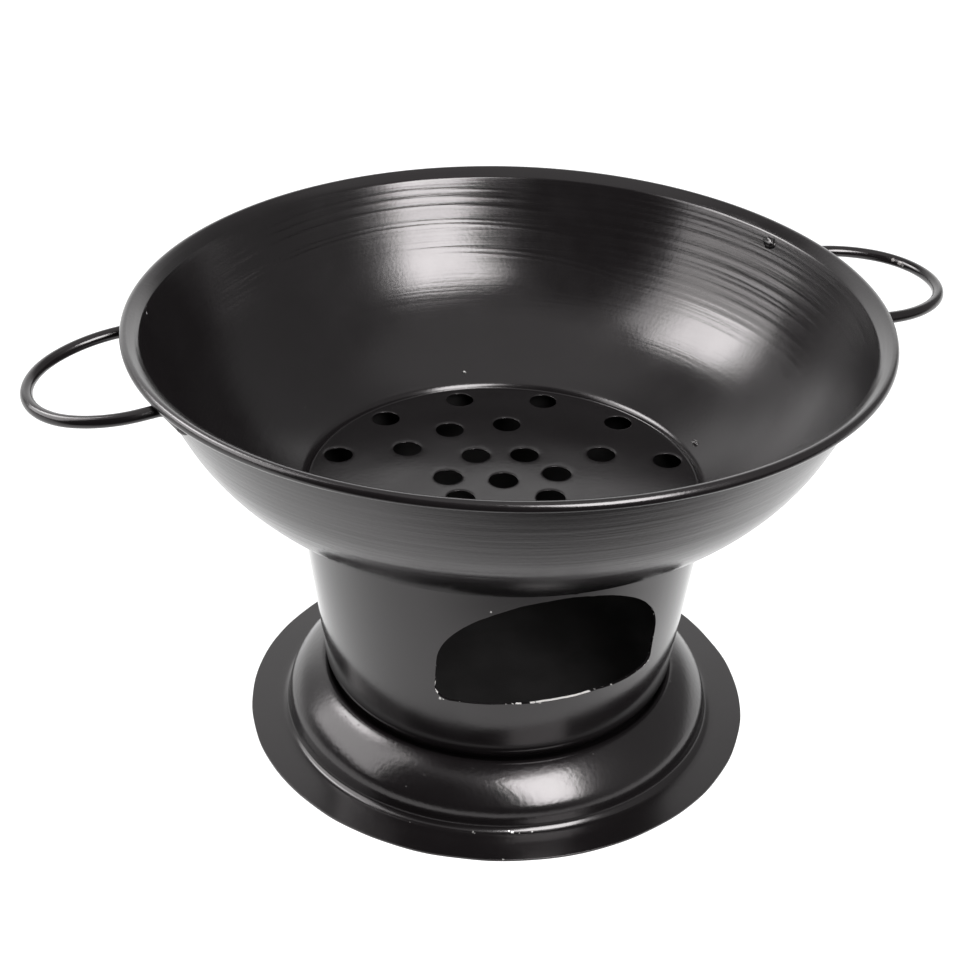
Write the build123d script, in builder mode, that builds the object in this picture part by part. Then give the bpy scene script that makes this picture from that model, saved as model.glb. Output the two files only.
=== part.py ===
from build123d import *
from math import cos, radians, sin, sqrt, tan
import os

# A charcoal brazier of painted sheet steel, in millimetres with +Z up.
# A perforated fire bowl with two wire handles stands on a tapered ash drum,
# and the drum stands in a pressed foot ring.  Everything is welded together.
# The origin is the middle of the foot ring's underside.  The handles lie
# along X, and the drum's ash opening faces -Y.

# ---- Stock ---------------------------------------------------------------
SHEET = 1.2  # thickness of every pressed piece
WIRE = 6.0  # diameter of the handles' bar

# ---- Fire bowl -----------------------------------------------------------
# Its section runs along the underside of the sheet, from the axis outwards.
# Angles are measured up from the horizontal.
FLOOR_RADIUS = 102.0  # where the flat floor ends and the step bends up
STEP_FOOT_BEND = 2.4
STEP_ANGLE = 58.0
STEP_RISER = 2.9  # straight part of the step
STEP_TOP_BEND = 1.0
WALL_START_ANGLE = 20.5
WALL_BEND = 108.0  # radius of the bowl's curved side
WALL_END_ANGLE = 65.6
UPPER_WALL_BEND = 450.0  # radius of the nearly straight wall above it
UPPER_WALL_END_ANGLE = 70.7
LIP_BEND = 1.8
LIP_START_ANGLE = 45.4
LIP_CURVE = 16.87  # radius of the lip, which flattens out towards its end
LIP_END_ANGLE = 25.0
RIM_BEAD = 5.2  # diameter of the bead rolled along the rim, whose top runs on from the lip

# ---- Air holes, punched by hand, so two of their rings are uneven ----------
HOLE = 15.0
INNER_RING_RADIUS = 29.2
INNER_RING_ANGLES = (-2, 49, 102, 158, 202, 255, 308)
MIDDLE_RING_RADIUS = 60.2
MIDDLE_RING_ANGLES = (11, 70, 101, 131, 191, 251, 281, 311)
OUTER_RING_RADIUS = 91.0
OUTER_RING_COUNT = 12
OUTER_RING_START_ANGLE = -2.6

# ---- Ash drum ------------------------------------------------------------
DRUM_HEIGHT = 119.9
DRUM_TAPER_ANGLE = 6.9  # of the wall from the vertical
DRUM_FOOT_BEND = 17.5
DRUM_TO_STEP = 0.3  # clearance between the drum and the bowl's step

# ---- Ash opening ---------------------------------------------------------
OPENING_FACING_ANGLE = -92.4
OPENING_WIDTH = 114.0
OPENING_SILL_ANGLE = 1.8
OPENING_SIDE = 23.7  # height of its straight sides
OPENING_ARCH = 43.0  # rise of its elliptical top above the sides
OPENING_BELOW_DRUM_TOP = 6.4  # from the drum's top down to the middle of the arch
OPENING_CORNER = 7.0

# ---- Foot ring -----------------------------------------------------------
SEAT_HEIGHT = 22.5  # top of the ledge that the drum stands on
SEAT_WIDTH = 17.7  # how far the ledge reaches in under the drum
SEAT_BEND = 2.4
GROOVE_WALL = 0.5  # upright part between the seat's bend and the crest
GROOVE_GAP = 1.9  # least gap between the drum and the crest
CREST_BEND = 4.0
SLOPE_START_ANGLE = 29.0
SLOPE_END_ANGLE = 55.0
SHOULDER_BEND = 14.5
DOME_SIDE = 1.2  # upright part between the shoulder and the foot bend
FOOT_BEND = 4.5
FLANGE_WIDTH = 21.3

# ---- Handles -------------------------------------------------------------
HANDLE_HALF_WIDTH = 42.9
HANDLE_LEG = 10.2  # from the corner of the foot to the loop's arcs
HANDLE_REACH = 47.7  # of the loop beyond its legs
HANDLE_SHOULDER_ANGLE = 35.0  # turn of the flatter arcs beside the legs
HANDLE_BELOW_RIM = 8.9
HANDLE_FOOT_BEND = 5.0
HANDLE_FOOT_ANGLE = 19.3  # where each foot ends, seen from above
HANDLE_FOOT_DROP = 1.0
HANDLE_TO_WALL = 0.3
LEFT_DROOP_ANGLE = 8.1
RIGHT_DROOP_ANGLE = 1.7

# ---- Welds ---------------------------------------------------------------
HANDLE_WELD = 7.8  # diameter of the bead round each handle foot's end
HANDLE_WELD_INSET = 1.2  # how far its middle lies towards the wall
BOWL_TACK = 7.0
BOWL_TACK_ANGLES = (0, 84, 180, 270)
FOOT_TACK = 6.0
FOOT_TACK_COUNT = 4
FOOT_TACK_START_ANGLE = 45.0
WELD_CLEARANCE = 0.05
POLES_INWARDS = (0, 90, 0)  # turns a handle bead's poles out of the surface that shows


def sine(angle):
    """Sine of an angle in degrees."""
    return sin(radians(angle))


def cosine(angle):
    """Cosine of an angle in degrees."""
    return cos(radians(angle))


# ---- Sections of the sheets, drawn with the radius as X and the height as Y --
drum_top = SEAT_HEIGHT + DRUM_HEIGHT
step_height = (
    STEP_FOOT_BEND * (1 - cosine(STEP_ANGLE))
    + STEP_RISER * sine(STEP_ANGLE)
    + STEP_TOP_BEND * (cosine(WALL_START_ANGLE) - cosine(STEP_ANGLE))
)
floor_underside = drum_top - step_height

with BuildLine() as bowl_section:
    floor_line = Line((0, floor_underside), (FLOOR_RADIUS, floor_underside))
    step_foot = JernArc(floor_line @ 1, floor_line % 1, STEP_FOOT_BEND, STEP_ANGLE)
    riser = Line(step_foot @ 1, step_foot @ 1 + (step_foot % 1) * STEP_RISER)
    step_top = JernArc(riser @ 1, riser % 1, STEP_TOP_BEND, WALL_START_ANGLE - STEP_ANGLE)
    wall = JernArc(step_top @ 1, step_top % 1, WALL_BEND, WALL_END_ANGLE - WALL_START_ANGLE)
    upper_wall = JernArc(wall @ 1, wall % 1, UPPER_WALL_BEND, UPPER_WALL_END_ANGLE - WALL_END_ANGLE)
    lip_bend = JernArc(upper_wall @ 1, upper_wall % 1, LIP_BEND, LIP_START_ANGLE - UPPER_WALL_END_ANGLE)
    lip = JernArc(lip_bend @ 1, lip_bend % 1, LIP_CURVE, LIP_END_ANGLE - LIP_START_ANGLE)

# The drum's top edge stands under the bowl, just outside the bowl's step.  It
# is square to the slanting wall, so its inner corner is the higher one.
drum_top_radius = (wall @ 0).X + DRUM_TO_STEP + SHEET
drum_foot_radius = drum_top_radius - DRUM_HEIGHT * tan(radians(DRUM_TAPER_ANGLE))

with BuildLine() as drum_section:
    FilletPolyline(
        (0, SEAT_HEIGHT),
        (drum_foot_radius, SEAT_HEIGHT),
        (drum_top_radius, drum_top - SHEET * sine(DRUM_TAPER_ANGLE)),
        radius=DRUM_FOOT_BEND,
    )

# The foot ring's groove follows the drum's rounded foot, and its dome comes
# down to the flange, whatever the height of the seat.
drum_flat_radius = drum_foot_radius - DRUM_FOOT_BEND * tan(radians(90 - DRUM_TAPER_ANGLE) / 2)
crest_centre = SEAT_HEIGHT + SEAT_BEND + GROOVE_WALL
crest_to_drum_bend = DRUM_FOOT_BEND + GROOVE_GAP + CREST_BEND
crest_below_drum_bend = SEAT_HEIGHT + DRUM_FOOT_BEND - crest_centre
crest_radius = drum_flat_radius + sqrt(crest_to_drum_bend**2 - crest_below_drum_bend**2)
groove_radius = crest_radius - CREST_BEND
shoulder_centre = SHEET + FOOT_BEND + DOME_SIDE
slope_top = crest_centre + CREST_BEND * cosine(SLOPE_START_ANGLE)
slope_bottom = shoulder_centre + SHOULDER_BEND * cosine(SLOPE_END_ANGLE)
slope_bend = (slope_top - slope_bottom) / (cosine(SLOPE_START_ANGLE) - cosine(SLOPE_END_ANGLE))

with BuildLine() as ring_section:
    seat = Line((drum_flat_radius - SEAT_WIDTH, SEAT_HEIGHT), (groove_radius - SEAT_BEND, SEAT_HEIGHT))
    seat_bend = JernArc(seat @ 1, seat % 1, SEAT_BEND, 90)
    groove_wall = Line(seat_bend @ 1, seat_bend @ 1 + (seat_bend % 1) * GROOVE_WALL)
    crest = JernArc(groove_wall @ 1, groove_wall % 1, CREST_BEND, -90 - SLOPE_START_ANGLE)
    slope = JernArc(crest @ 1, crest % 1, slope_bend, SLOPE_START_ANGLE - SLOPE_END_ANGLE)
    shoulder = JernArc(slope @ 1, slope % 1, SHOULDER_BEND, SLOPE_END_ANGLE - 90)
    dome_side = Line(shoulder @ 1, shoulder @ 1 + (shoulder % 1) * DOME_SIDE)
    foot_bend = JernArc(dome_side @ 1, dome_side % 1, FOOT_BEND, 90)
    flange = Line(foot_bend @ 1, foot_bend @ 1 + (foot_bend % 1) * (FLANGE_WIDTH - FOOT_BEND))

# ---- Fire bowl -------------------------------------------------------------
rim = lip @ 1 + (lip % 1).rotate(Axis.Z, 90) * (SHEET - RIM_BEAD / 2)

with BuildPart() as bowl:
    with BuildSketch(Plane.XZ):
        with BuildLine():
            add(bowl_section.line)
            offset(amount=SHEET, side=Side.LEFT)
        make_face()
        with Locations((rim.X, rim.Y)):
            Circle(RIM_BEAD / 2)
    revolve(axis=Axis.Z)
    with BuildSketch(Plane.XY.offset(floor_underside)):
        Circle(HOLE / 2)
        for radius, angles in (
            (INNER_RING_RADIUS, INNER_RING_ANGLES),
            (MIDDLE_RING_RADIUS, MIDDLE_RING_ANGLES),
        ):
            for angle in angles:
                with Locations((radius * cosine(angle), radius * sine(angle))):
                    Circle(HOLE / 2)
        with PolarLocations(OUTER_RING_RADIUS, OUTER_RING_COUNT, OUTER_RING_START_ANGLE):
            Circle(HOLE / 2)
    extrude(amount=SHEET, mode=Mode.SUBTRACT)

# ---- Ash drum ----------------------------------------------------------------
# The opening hangs below the drum's top edge, whatever the drum's height.
opening_sill = drum_top - OPENING_BELOW_DRUM_TOP - OPENING_ARCH - OPENING_SIDE
opening_face = Plane(
    origin=(0, 0, opening_sill),
    x_dir=(-sine(OPENING_FACING_ANGLE), cosine(OPENING_FACING_ANGLE), 0),
    z_dir=(cosine(OPENING_FACING_ANGLE), sine(OPENING_FACING_ANGLE), 0),
)
half_opening = OPENING_WIDTH / 2
sill_rise = half_opening * tan(radians(OPENING_SILL_ANGLE))

with BuildPart() as ash_drum:
    with BuildSketch(Plane.XZ):
        with BuildLine():
            add(drum_section.line)
            offset(amount=SHEET, side=Side.LEFT)
        make_face()
    revolve(axis=Axis.Z)
    with BuildSketch(opening_face) as opening:
        with BuildLine():
            sill = Line((-half_opening, -sill_rise), (half_opening, sill_rise))
            right_side = Line(sill @ 1, (half_opening, OPENING_SIDE))
            arch = EllipticalCenterArc((0, OPENING_SIDE), half_opening, OPENING_ARCH, 0, arc_size=180)
            Line(arch @ 1, sill @ 0)
        make_face()
        fillet(opening.vertices().sort_by(Axis.Y)[:2], OPENING_CORNER)
    extrude(amount=drum_top_radius, mode=Mode.SUBTRACT)

# ---- Foot ring -----------------------------------------------------------------
with BuildPart() as foot_ring:
    with BuildSketch(Plane.XZ):
        with BuildLine():
            add(ring_section.line)
            offset(amount=SHEET, side=Side.RIGHT)
        make_face()
    revolve(axis=Axis.Z)

# ---- Handles -------------------------------------------------------------------
handle_height = rim.Y - HANDLE_BELOW_RIM


def wire_radius_at(height):
    """Distance from the axis to the middle of a wire that lies along the bowl's upper wall."""
    centre = upper_wall.arc_center
    outside = centre.X + sqrt(UPPER_WALL_BEND**2 - (centre.Y - height) ** 2)
    return outside + (WIRE / 2 + HANDLE_TO_WALL) / sine(UPPER_WALL_END_ANGLE)


def foot_end(side):
    """End of a handle's foot against the wall, on side 1 or -1 of the handle on +X."""
    height = handle_height - HANDLE_FOOT_DROP
    radius = wire_radius_at(height)
    angle = side * HANDLE_FOOT_ANGLE
    return (radius * cosine(angle), radius * sine(angle), height)


def bend_handle(droop, diameter):
    """A handle on +X whose loop hangs down by droop degrees."""
    foot_x = sqrt(wire_radius_at(handle_height) ** 2 - HANDLE_HALF_WIDTH**2)
    loop_plane = Plane(
        origin=(foot_x, 0, handle_height),
        x_dir=(cosine(droop), 0, -sine(droop)),
        z_dir=(sine(droop), 0, cosine(droop)),
    )
    turn = HANDLE_SHOULDER_ANGLE
    # The two radii make three tangent arcs of the loop's full reach and width.
    spread = (1 - cosine(turn)) * (1 - sine(turn)) - cosine(turn) * sine(turn)
    side_bend = (HANDLE_HALF_WIDTH * (1 - sine(turn)) - HANDLE_REACH * cosine(turn)) / spread
    tip_bend = (HANDLE_REACH * (1 - cosine(turn)) - HANDLE_HALF_WIDTH * sine(turn)) / spread
    with BuildPart() as handle:
        with BuildLine(loop_plane) as loop:
            near_side = JernArc((HANDLE_LEG, -HANDLE_HALF_WIDTH), (1, 0), side_bend, turn)
            tip = JernArc(near_side @ 1, near_side % 1, tip_bend, 180 - 2 * turn)
            far_side = JernArc(tip @ 1, tip % 1, side_bend, turn)
        with BuildLine():
            near_corner = loop_plane.from_local_coords((0, -HANDLE_HALF_WIDTH))
            far_corner = loop_plane.from_local_coords((0, HANDLE_HALF_WIDTH))
            near_leg = FilletPolyline(foot_end(-1), near_corner, near_side @ 0, radius=HANDLE_FOOT_BEND)
            FilletPolyline(far_side @ 1, far_corner, foot_end(1), radius=HANDLE_FOOT_BEND)
        with BuildSketch(Plane(origin=near_leg @ 0, z_dir=near_leg % 0)):
            Circle(diameter / 2)
        sweep()
    return handle.part


handle_right = bend_handle(RIGHT_DROOP_ANGLE, WIRE)
handle_left = bend_handle(LEFT_DROOP_ANGLE, WIRE).rotate(Axis.Z, 180)


# ---- Welds ---------------------------------------------------------------------
# Each bead is a blob cut back to clear what it joins: the bowl with the room
# inside it, the drum with the room inside it, the handles or the foot ring.
def filled(section):
    """The full solid inside a sheet's section, under a cone up to the rim's height."""
    with BuildPart() as solid:
        with BuildSketch(Plane.XZ):
            with BuildLine():
                add(section.line)
                Polyline(section.line @ 1, (0, rim.Y), section.line @ 0)
            make_face()
        revolve(axis=Axis.Z)
    return solid.part


bowl_room = filled(bowl_section)
drum_room = filled(drum_section)


def weld_feet(droop):
    """The two beads round the ends of a handle's feet, on +X."""
    handle_room = bend_handle(droop, WIRE + 2 * WELD_CLEARANCE)
    with BuildPart() as beads:
        for side in (-1, 1):
            end = Vector(foot_end(side))
            inwards = Vector(-end.X, -end.Y, 0).normalized()
            with Locations(end + inwards * HANDLE_WELD_INSET):
                Sphere(HANDLE_WELD / 2, rotation=POLES_INWARDS)
        add(handle_room, mode=Mode.SUBTRACT)
        add(bowl_room, mode=Mode.SUBTRACT)
    return beads.part


handle_welds_right = weld_feet(RIGHT_DROOP_ANGLE)
handle_welds_left = weld_feet(LEFT_DROOP_ANGLE).rotate(Axis.Z, 180)

with BuildPart() as bowl_tack_welds:
    for angle in BOWL_TACK_ANGLES:
        with Locations((drum_top_radius * cosine(angle), drum_top_radius * sine(angle), drum_top)):
            Sphere(BOWL_TACK / 2)
    add(bowl_room, mode=Mode.SUBTRACT)
    add(drum_room, mode=Mode.SUBTRACT)

with BuildPart() as foot_tack_welds:
    with Locations((0, 0, SEAT_HEIGHT - SHEET)):
        with PolarLocations((seat @ 0).X, FOOT_TACK_COUNT, FOOT_TACK_START_ANGLE):
            Sphere(FOOT_TACK / 2)
    add(drum_room, mode=Mode.SUBTRACT)
    add(foot_ring.part, mode=Mode.SUBTRACT)

# ---- The nodes -------------------------------------------------------------------
nodes = {
    "bowl": bowl.part,
    "ash_drum": ash_drum.part,
    "foot_ring": foot_ring.part,
    "handle_left": handle_left,
    "handle_right": handle_right,
    "handle_welds_left": handle_welds_left,
    "handle_welds_right": handle_welds_right,
    "bowl_tack_welds": bowl_tack_welds.part,
    "foot_tack_welds": foot_tack_welds.part,
}
os.makedirs("parts", exist_ok=True)
for name, piece in nodes.items():
    piece.label = name
    export_step(piece, f"parts/{name}.step")
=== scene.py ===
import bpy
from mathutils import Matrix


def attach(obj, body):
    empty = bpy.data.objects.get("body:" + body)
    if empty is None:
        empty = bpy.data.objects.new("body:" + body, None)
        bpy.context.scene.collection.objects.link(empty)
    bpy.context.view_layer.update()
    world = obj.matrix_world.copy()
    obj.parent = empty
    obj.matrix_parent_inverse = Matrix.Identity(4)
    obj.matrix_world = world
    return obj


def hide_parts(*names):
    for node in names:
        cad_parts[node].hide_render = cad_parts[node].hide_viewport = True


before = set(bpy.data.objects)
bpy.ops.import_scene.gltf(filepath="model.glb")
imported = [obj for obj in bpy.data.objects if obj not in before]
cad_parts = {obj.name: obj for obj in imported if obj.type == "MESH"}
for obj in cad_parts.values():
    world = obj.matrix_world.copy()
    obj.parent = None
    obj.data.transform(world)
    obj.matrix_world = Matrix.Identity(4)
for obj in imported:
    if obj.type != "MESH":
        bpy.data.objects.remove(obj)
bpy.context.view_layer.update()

from math import asin, cos, exp, hypot, pi, radians, sin, sqrt, tan

import bmesh
import bpy
from mathutils import Matrix, Vector, noise
from mathutils.geometry import delaunay_2d_cdt

# A charcoal brazier of black painted sheet steel.  Lengths here are in
# millimetres, and each mesh is made in metres.  Angles are in degrees.
MM = 0.001

# ---- Sizes of the sheets, as in the CAD ------------------------------------
SHEET = 1.2
FLOOR_RADIUS = 102.0
STEP_FOOT_BEND = 2.4
STEP_ANGLE = 58.0
STEP_RISER = 2.9
STEP_TOP_BEND = 1.0
WALL_START_ANGLE = 20.5
WALL_BEND = 108.0
WALL_END_ANGLE = 65.6
UPPER_WALL_BEND = 450.0
UPPER_WALL_END_ANGLE = 70.7
LIP_BEND = 1.8
LIP_START_ANGLE = 45.4
LIP_CURVE = 16.87
LIP_END_ANGLE = 25.0
RIM_BEAD = 5.2
RIM_CURL = 275.0
HOLE = 15.0
INNER_RING_RADIUS = 29.2
INNER_RING_ANGLES = (-2, 49, 102, 158, 202, 255, 308)
MIDDLE_RING_RADIUS = 60.2
MIDDLE_RING_ANGLES = (11, 70, 101, 131, 191, 251, 281, 311)
OUTER_RING_RADIUS = 91.0
OUTER_RING_COUNT = 12
OUTER_RING_START_ANGLE = -2.6
SEAT_HEIGHT = 22.5
DRUM_HEIGHT = 119.9
DRUM_TAPER_ANGLE = 6.9
DRUM_FOOT_BEND = 17.5
DRUM_TO_STEP = 0.3
OPENING_FACING_ANGLE = -92.4
OPENING_WIDTH = 114.0
OPENING_SILL_ANGLE = 1.8
OPENING_SIDE = 23.7
OPENING_ARCH = 43.0
OPENING_BELOW_DRUM_TOP = 6.4
OPENING_LEFT_CORNER = 8.0
OPENING_RIGHT_CORNER = 5.0
SEAT_WIDTH = 17.7
SEAT_BEND = 2.4
GROOVE_WALL = 0.5
GROOVE_GAP = 1.9
CREST_BEND = 4.0
SLOPE_START_ANGLE = 29.0
SLOPE_END_ANGLE = 55.0
SHOULDER_BEND = 14.5
DOME_SIDE = 1.2
FOOT_BEND = 4.5
FLANGE_WIDTH = 21.3

# ---- Sizes that only the scene has -----------------------------------------
# The step round the bowl's floor as it shows: tight at its foot, soft at its top.
SHOWING_FOOT_RADIUS = 101.54
SHOWING_FOOT_BEND = 0.8
SHOWING_STEP_ANGLE = 70.0
SHOWING_TOP_BEND = 5.70
# The strip of floor that the turned section begins with, and how far past the
# step's foot a face still counts as floor.
FLOOR_RIM = 0.4
FLOOR_MARGIN = 0.1
# How far the rim's curl stays inside the CAD's solid bead.
CURL_INSET = 0.055
# The punch drew the floor down round each hole: depth, fading length and width.
DISH_DEPTH = 0.38
DISH_SPREAD = 0.60
DISH_WIDTH = 1.6
DISH_SHARES = (0, 0.28, 0.5, 0.74, 1)
# The floor's gentle waves end before its step.
FLOOR_WAVE = 0.25
FLOOR_WAVE_SIZE = 34
FLOOR_WAVE_LAYER = 3.1
FLOOR_WAVE_END = 1
FLOOR_WAVE_FADE = 20
# The wall's waves begin above its step and end below its rim.
WALL_WAVE = 0.25
WALL_WAVE_SIZE = 60
WALL_WAVE_START = 4
WALL_WAVE_RISE = 15
WALL_WAVE_FADE = 10
# The bend of the rim: the heights it grows between, its parts that go once and
# twice round, and what is taken off both.
WARP_FROM = 165.0
WARP_TO = 232.0
WARP_ONCE = (0.78, -0.45)
WARP_TWICE = (-1.24, 0.69)
WARP_LEVEL = -1.7
# Lumps where a weld has burnt through, which lie on the wall's slope.
NUB_STEEPEST = 68.0
NUB_SLOPE_PER_MM = 0.62
NUB_LUMPS = 0.5
NUB_LUMP_SCALE = 1.6
NUB_OVAL = 0.8
# The opening's hand-cut edge: long facets and small teeth, and a dip in the sill.
FACET_SIZE = 13
FACET_DEPTH = 0.55
TOOTH_SIZE = 3.2
TOOTH_DEPTH = 0.22
SILL_RAGGED = 0.8
SIDE_RAGGED = 0.4
SILL_DIP = 2.0
SILL_DIP_PLACE = 42
SILL_DIP_SIZE = 15
# The drum's waves fade out towards its bend and its top.
DRUM_WAVE = 0.28
DRUM_WAVE_SIZE = 45
DRUM_WAVE_FADE = 12
# The foot ring's waves, which only its dome has, and its flange's trimmed edge.
RING_WAVE = 0.2
RING_WAVE_SIZE = 30
RING_WAVE_FADE = 6
RING_WAVE_START = 3
TRIM_WIDTH = 3
TRIM_MEAN = 0.25
TRIM_WAVE = 0.5
TRIM_WAVE_SIZE = 25

# ---- How finely the sheets are divided -------------------------------------
BOWL_SEGMENTS = 320
HOLE_SEGMENTS = 48
# The floor's triangular grid: its pitch, the share of that between its rows, and
# how far it stays from the step and from the drawn-down rings.
FLOOR_GRID = 3.0
GRID_ROW = 0.866
GRID_TO_STEP = 1.6
GRID_TO_DISH = 1.2
FILL_TOLERANCE = 1e-5
MERGE_DISTANCE = 0.002
OPENING_COLUMNS = 140
OPENING_CROWDING = 0.88
WALL_COLUMNS = 250
WALL_COLUMNS_FADE = 12
# Away from the opening the lower rows end this far above its sill.
WALL_LOW_RISE = 8
LOW_ROWS = 12
SIDE_ROWS = 10
HIGH_ROWS = 16
RING_SEGMENTS = 360

# ---- Camera ----------------------------------------------------------------
# Its place and lens are in millimetres, and its turns in degrees.
CAMERA_PLACE = (-263.2, -748.5, 613.9)
CAMERA_AZIMUTH = -19.37
CAMERA_PAN = -0.56
CAMERA_TILT = 31.09
CAMERA_ROLL = 1.94
CAMERA_LENS = 65.43
CAMERA_SENSOR = 36.0


def sine(angle):
    return sin(radians(angle))


def cosine(angle):
    return cos(radians(angle))


def clamp(value):
    return min(1.0, max(0.0, value))


# ---- Sections --------------------------------------------------------------
class Section:
    """The outline of a sheet's showing side, as points of radius and height."""

    def __init__(self, radius, height, heading=0.0):
        self.points = [(radius, height)]
        self.heading = heading

    def line(self, length, steps=1):
        radius, height = self.points[-1]
        for step in range(1, steps + 1):
            run = length * step / steps
            across = radius + run * cosine(self.heading)
            self.points.append((across, height + run * sine(self.heading)))
        return self

    def arc(self, bend, turn, steps):
        side = 1 if turn > 0 else -1
        radius, height = self.points[-1]
        centre_r = radius - side * bend * sine(self.heading)
        centre_z = height + side * bend * cosine(self.heading)
        for step in range(1, steps + 1):
            angle = self.heading + turn * step / steps
            across = centre_r + side * bend * sine(angle)
            self.points.append((across, centre_z - side * bend * cosine(angle)))
        self.heading += turn
        return self


drum_top = SEAT_HEIGHT + DRUM_HEIGHT
step_height = (
    STEP_FOOT_BEND * (1 - cosine(STEP_ANGLE))
    + STEP_RISER * sine(STEP_ANGLE)
    + STEP_TOP_BEND * (cosine(WALL_START_ANGLE) - cosine(STEP_ANGLE))
)
floor_top = drum_top - step_height + SHEET


# ---- Mesh helpers ----------------------------------------------------------
def finish_piece(name, bm, node, thickness=None, bevel=None, inside=0, cut_edge=0):
    """Makes an object of a bmesh in millimetres, which stands for a CAD node if one is named.

    A sheet's inside and cut edge take the material that many slots further on."""
    bmesh.ops.scale(bm, vec=(MM, MM, MM), verts=bm.verts)
    mesh = bpy.data.meshes.new(name)
    bm.to_mesh(mesh)
    bm.free()
    mesh.polygons.foreach_set("use_smooth", [True] * len(mesh.polygons))
    piece = bpy.data.objects.new(name, mesh)
    bpy.context.scene.collection.objects.link(piece)
    if thickness:
        solidify = piece.modifiers.new("sheet", "SOLIDIFY")
        solidify.thickness = thickness * MM
        solidify.offset = -1
        solidify.material_offset = inside
        solidify.material_offset_rim = cut_edge
    if bevel:
        edges = piece.modifiers.new("edges", "BEVEL")
        edges.width = bevel * MM
        edges.segments = 2
        edges.limit_method = "ANGLE"
        edges.angle_limit = radians(50)
        edges.harden_normals = True
    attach(piece, "root")
    if node:
        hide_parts(node)
    return piece


def circle(radius, count, x=0.0, y=0.0):
    """Points round a circle, the first one on its +X side."""
    turns = [360.0 * step / count for step in range(count)]
    return [(x + radius * cosine(turn), y + radius * sine(turn)) for turn in turns]


def ring_of_vertices(bm, radius, height, segments, shape):
    """A closed ring of vertices, each moved by shape(angle, radius, height)."""
    ring = []
    for step in range(segments):
        angle = 360.0 * step / segments
        r, z = shape(angle, radius, height)
        ring.append(bm.verts.new((r * cosine(angle), r * sine(angle), z)))
    return ring


def join_rings(bm, inner, outer):
    """Quads between two rings, facing up where the outer ring is the wider one."""
    count = len(inner)
    for step in range(count):
        after = (step + 1) % count
        bm.faces.new((inner[step], outer[step], outer[after], inner[after]))


def turn_section(bm, section, segments, shape):
    """A section turned round the axis, as rings of vertices joined by quads."""
    rings = []
    for radius, height in section.points:
        rings.append(ring_of_vertices(bm, radius, height, segments, shape))
    for inner, outer in zip(rings, rings[1:]):
        join_rings(bm, inner, outer)


def waviness(angle, radius, height, size, amount):
    """A gentle unevenness of the sheet, the same on each run."""
    place = Vector((radius * cosine(angle), radius * sine(angle), height)) / size
    return noise.noise(place) * amount


# ---- Bowl ------------------------------------------------------------------
outer_ring_angles = [
    OUTER_RING_START_ANGLE + 360 / OUTER_RING_COUNT * step for step in range(OUTER_RING_COUNT)
]
holes = [(0.0, 0.0)]
for ring_radius, ring_angles in (
    (INNER_RING_RADIUS, INNER_RING_ANGLES),
    (MIDDLE_RING_RADIUS, MIDDLE_RING_ANGLES),
    (OUTER_RING_RADIUS, outer_ring_angles),
):
    for hole_angle in ring_angles:
        holes.append((ring_radius * cosine(hole_angle), ring_radius * sine(hole_angle)))


def to_nearest_hole(x, y):
    """The distance to the nearest hole's middle."""
    return min(hypot(x - hx, y - hy) for hx, hy in holes)


def floor_height(x, y):
    """Height of the perforated floor, which the punch drew down round each hole."""
    reach = min(DISH_WIDTH, max(0.0, to_nearest_hole(x, y) - HOLE / 2))
    dish = DISH_DEPTH * (exp(-reach / DISH_SPREAD) - exp(-DISH_WIDTH / DISH_SPREAD))
    fade = clamp((FLOOR_RADIUS - FLOOR_WAVE_END - hypot(x, y)) / FLOOR_WAVE_FADE)
    place = Vector((x / FLOOR_WAVE_SIZE, y / FLOOR_WAVE_SIZE, FLOOR_WAVE_LAYER))
    wave = FLOOR_WAVE * fade * noise.noise(place)
    return floor_top - dish + wave


floor_edge = SHOWING_FOOT_RADIUS - FLOOR_RIM
bowl_section = (
    Section(floor_edge, floor_top)
    .line(FLOOR_RIM)
    .arc(SHOWING_FOOT_BEND, SHOWING_STEP_ANGLE, 8)
    .arc(SHOWING_TOP_BEND, WALL_START_ANGLE - SHOWING_STEP_ANGLE, 10)
    .arc(WALL_BEND - SHEET, WALL_END_ANGLE - WALL_START_ANGLE, 24)
    .arc(UPPER_WALL_BEND - SHEET, UPPER_WALL_END_ANGLE - WALL_END_ANGLE, 9)
    .arc(LIP_BEND + SHEET, LIP_START_ANGLE - UPPER_WALL_END_ANGLE, 4)
    .arc(LIP_CURVE + SHEET, LIP_END_ANGLE - LIP_START_ANGLE, 5)
    .arc(RIM_BEAD / 2 - CURL_INSET, -RIM_CURL, 24)
)


def rim_warp(angle):
    """The rim's rise at an azimuth, nought or below: handling has bent it a little."""
    once = WARP_ONCE[0] * cosine(angle) + WARP_ONCE[1] * sine(angle)
    twice = WARP_TWICE[1] * sine(2 * angle) + WARP_TWICE[0] * cosine(2 * angle)
    return min(0.0, once + twice + WARP_LEVEL)


def bowl_shape(angle, radius, height):
    """The spun wall is a little uneven between its step and its rim, and bent near the rim."""
    share = clamp((height - drum_top - WALL_WAVE_START) / WALL_WAVE_RISE)
    share *= clamp((WARP_TO - height) / WALL_WAVE_FADE)
    bent = clamp((height - WARP_FROM) / (WARP_TO - WARP_FROM))
    bent = bent * bent * (3 - 2 * bent)
    radius += share * waviness(angle, radius, height, WALL_WAVE_SIZE, WALL_WAVE)
    return radius, height + bent * rim_warp(angle)


bowl_bm = bmesh.new()
turn_section(bowl_bm, bowl_section, BOWL_SEGMENTS, bowl_shape)

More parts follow.
